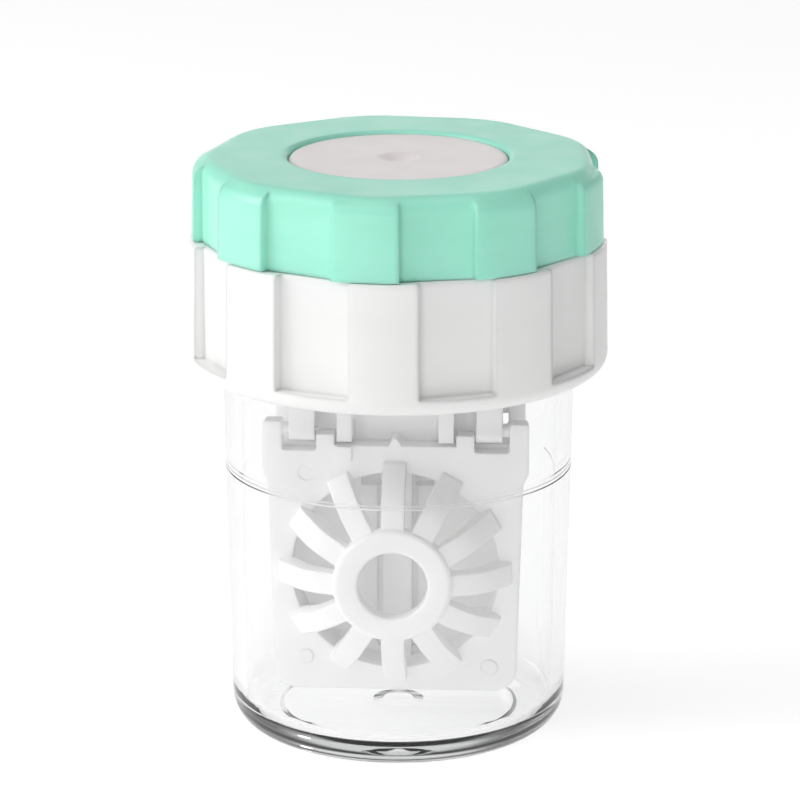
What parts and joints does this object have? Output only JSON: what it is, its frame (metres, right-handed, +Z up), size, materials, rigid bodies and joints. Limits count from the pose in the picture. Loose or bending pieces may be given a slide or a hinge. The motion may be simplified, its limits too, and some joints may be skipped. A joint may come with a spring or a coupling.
{
  "type": "contact lens washing case",
  "caption": "Clear tapered cup closed by a fluted screw ring, with a fluted knob that turns a two-sided lens basket with domed, spoked, hinged doors inside.",
  "frame": {"origin": "centre of the cup's foot, on the surface it stands on", "axes": "+Z up along the cup, ring and knob axis; -Y is the side the front basket door faces; +X is to the right seen from that side"},
  "size_m": [0.0336, 0.0336, 0.047],
  "materials": {
    "clear_plastic": "clear, polished",
    "white_plastic": "satin moulded",
    "mint_plastic": "satin moulded",
    "pale_plastic": "satin moulded",
    "seal_rubber": "matt silicone"
  },
  "bodies": {
    "cup": {"cup": "clear_plastic"},
    "lid_lift": {"lid_gasket": "seal_rubber"},
    "lid": {"lid_ring": "white_plastic"},
    "spinner": {"knob": "mint_plastic", "spindle": "pale_plastic", "shaft_o_ring": "seal_rubber", "carrier": "white_plastic"},
    "front_door": {"door_front": "white_plastic"},
    "rear_door": {"door_rear": "white_plastic"}
  },
  "joints": [
    {"name": "lid_rise", "type": "slide", "parent": "cup", "child": "lid_lift", "axis": [0, 0, 1], "range_m": [0, 0.03601]},
    {"name": "lid_screw", "type": "hinge", "parent": "lid_lift", "child": "lid", "pos_m": [0, 0, 0.03], "axis": [0, 0, 1], "range_deg": [0, 1440]},
    {"name": "knob_turn", "type": "hinge", "parent": "lid", "child": "spinner", "pos_m": [0, 0, 0.04056], "axis": [0, 0, 1], "continuous": true},
    {"name": "front_door_swing", "type": "hinge", "parent": "spinner", "child": "front_door", "pos_m": [0, -0.00355, 0.02555], "axis": [-1, 0, 0], "range_deg": [0, 6]},
    {"name": "rear_door_swing", "type": "hinge", "parent": "spinner", "child": "rear_door", "pos_m": [0, 0.00355, 0.02555], "axis": [1, 0, 0], "range_deg": [0, 6]}
  ],
  "couplings": [
    {"joint": "lid_rise", "follows": "lid_screw", "m_per_rad": 0.0014324}
  ]
}
